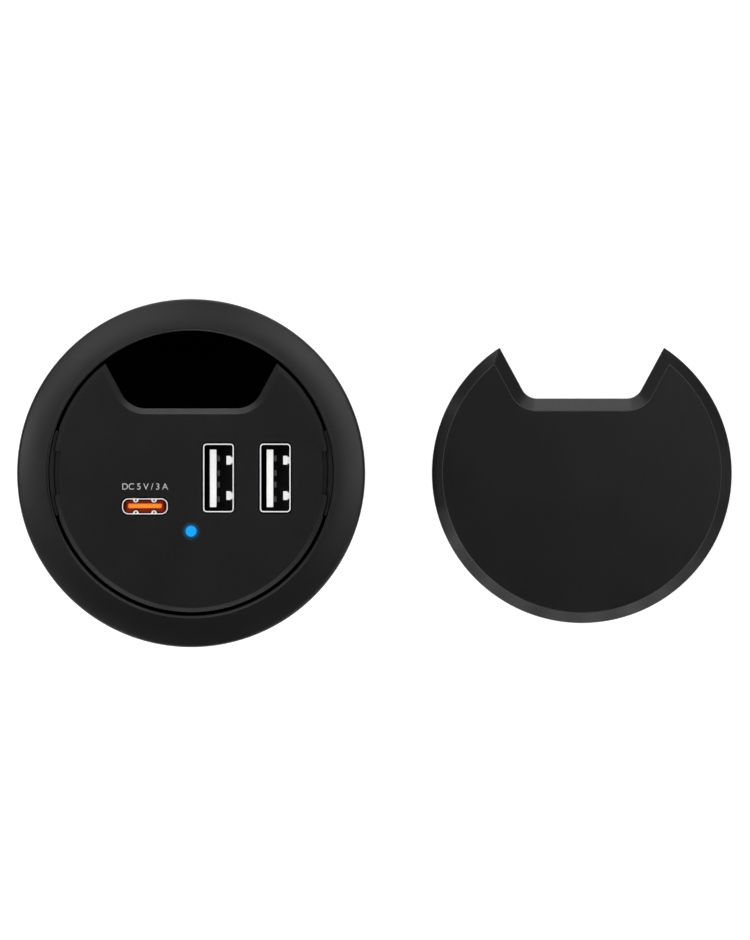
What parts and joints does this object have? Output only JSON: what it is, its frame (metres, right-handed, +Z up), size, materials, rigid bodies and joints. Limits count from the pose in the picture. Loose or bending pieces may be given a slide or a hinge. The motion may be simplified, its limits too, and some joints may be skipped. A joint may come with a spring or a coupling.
{
  "type": "in-desk usb charger",
  "caption": "Round in-desk USB charger with two upright A ports, a C port, a flared cable outlet, a clamp nut and a lift-off cover lying beside it.",
  "frame": {"origin": "on the sleeve's axis, in the plane of the flange's underside, which is the desk's surface", "axes": "+Z up out of the desk, +Y towards the cable outlet, +X towards the A ports and the loose cover"},
  "size_m": [0.136, 0.066, 0.0432],
  "materials": {
    "black_plastic": "matt black moulded ABS, fine texture",
    "screw_steel": "zinc-plated steel",
    "board_laminate": "green solder mask on glass laminate",
    "port_steel": "nickel-plated sheet steel",
    "spring_steel": "bright sprung steel",
    "white_nylon": "white moulded nylon",
    "orange_nylon": "orange moulded nylon",
    "gold_plate": "plated contact strips",
    "light_guide": "clear rod lit blue from below",
    "led_case": "moulded light emitter",
    "ferrite": "sintered ferrite",
    "capacitor_can": "plain aluminium can",
    "chip_black": "black epoxy and moulded nylon"
  },
  "bodies": {
    "charger": {"base_plate": "black_plastic", "base_screws": "screw_steel", "board_header": "chip_black", "control_chips": "chip_black", "dc_inlet_body": "chip_black", "dc_inlet_pin": "gold_plate", "dc_inlet_spring": "spring_steel", "desk_sleeve": "black_plastic", "light_pipe": "light_guide", "module_housing": "black_plastic", "port_board": "board_laminate", "port_board_screws": "screw_steel", "port_panel": "black_plastic", "power_board": "board_laminate", "power_board_screws": "screw_steel", "power_inductor": "ferrite", "small_parts": "chip_black", "smoothing_capacitors": "capacitor_can", "status_led": "led_case", "usb_a_left_contacts": "gold_plate", "usb_a_left_shell": "port_steel", "usb_a_left_springs": "spring_steel", "usb_a_left_tongue": "white_nylon", "usb_a_right_contacts": "gold_plate", "usb_a_right_shell": "port_steel", "usb_a_right_springs": "spring_steel", "usb_a_right_tongue": "white_nylon", "usb_c_contacts": "gold_plate", "usb_c_shell": "port_steel", "usb_c_tongue": "orange_nylon"},
    "washer": {"pressure_washer": "black_plastic"},
    "nut": {"clamp_nut": "black_plastic"},
    "cover": {"cover": "black_plastic"}
  },
  "joints": [
    {"name": "clamp_travel", "type": "slide", "parent": "charger", "child": "washer", "axis": [0, 0, 1], "range_m": [-0.0105, 0.009]},
    {"name": "clamp_turn", "type": "hinge", "parent": "washer", "child": "nut", "pos_m": [0, 0, 0], "axis": [0, 0, 1], "range_deg": [-1260, 1080]},
    {"name": "cover_lift", "type": "slide", "parent": "charger", "child": "cover", "axis": [0, 0, 1], "range_m": [0, 0.05]}
  ],
  "couplings": [
    {"joint": "clamp_turn", "follows": "clamp_travel", "rad_per_m": 2094.4}
  ]
}
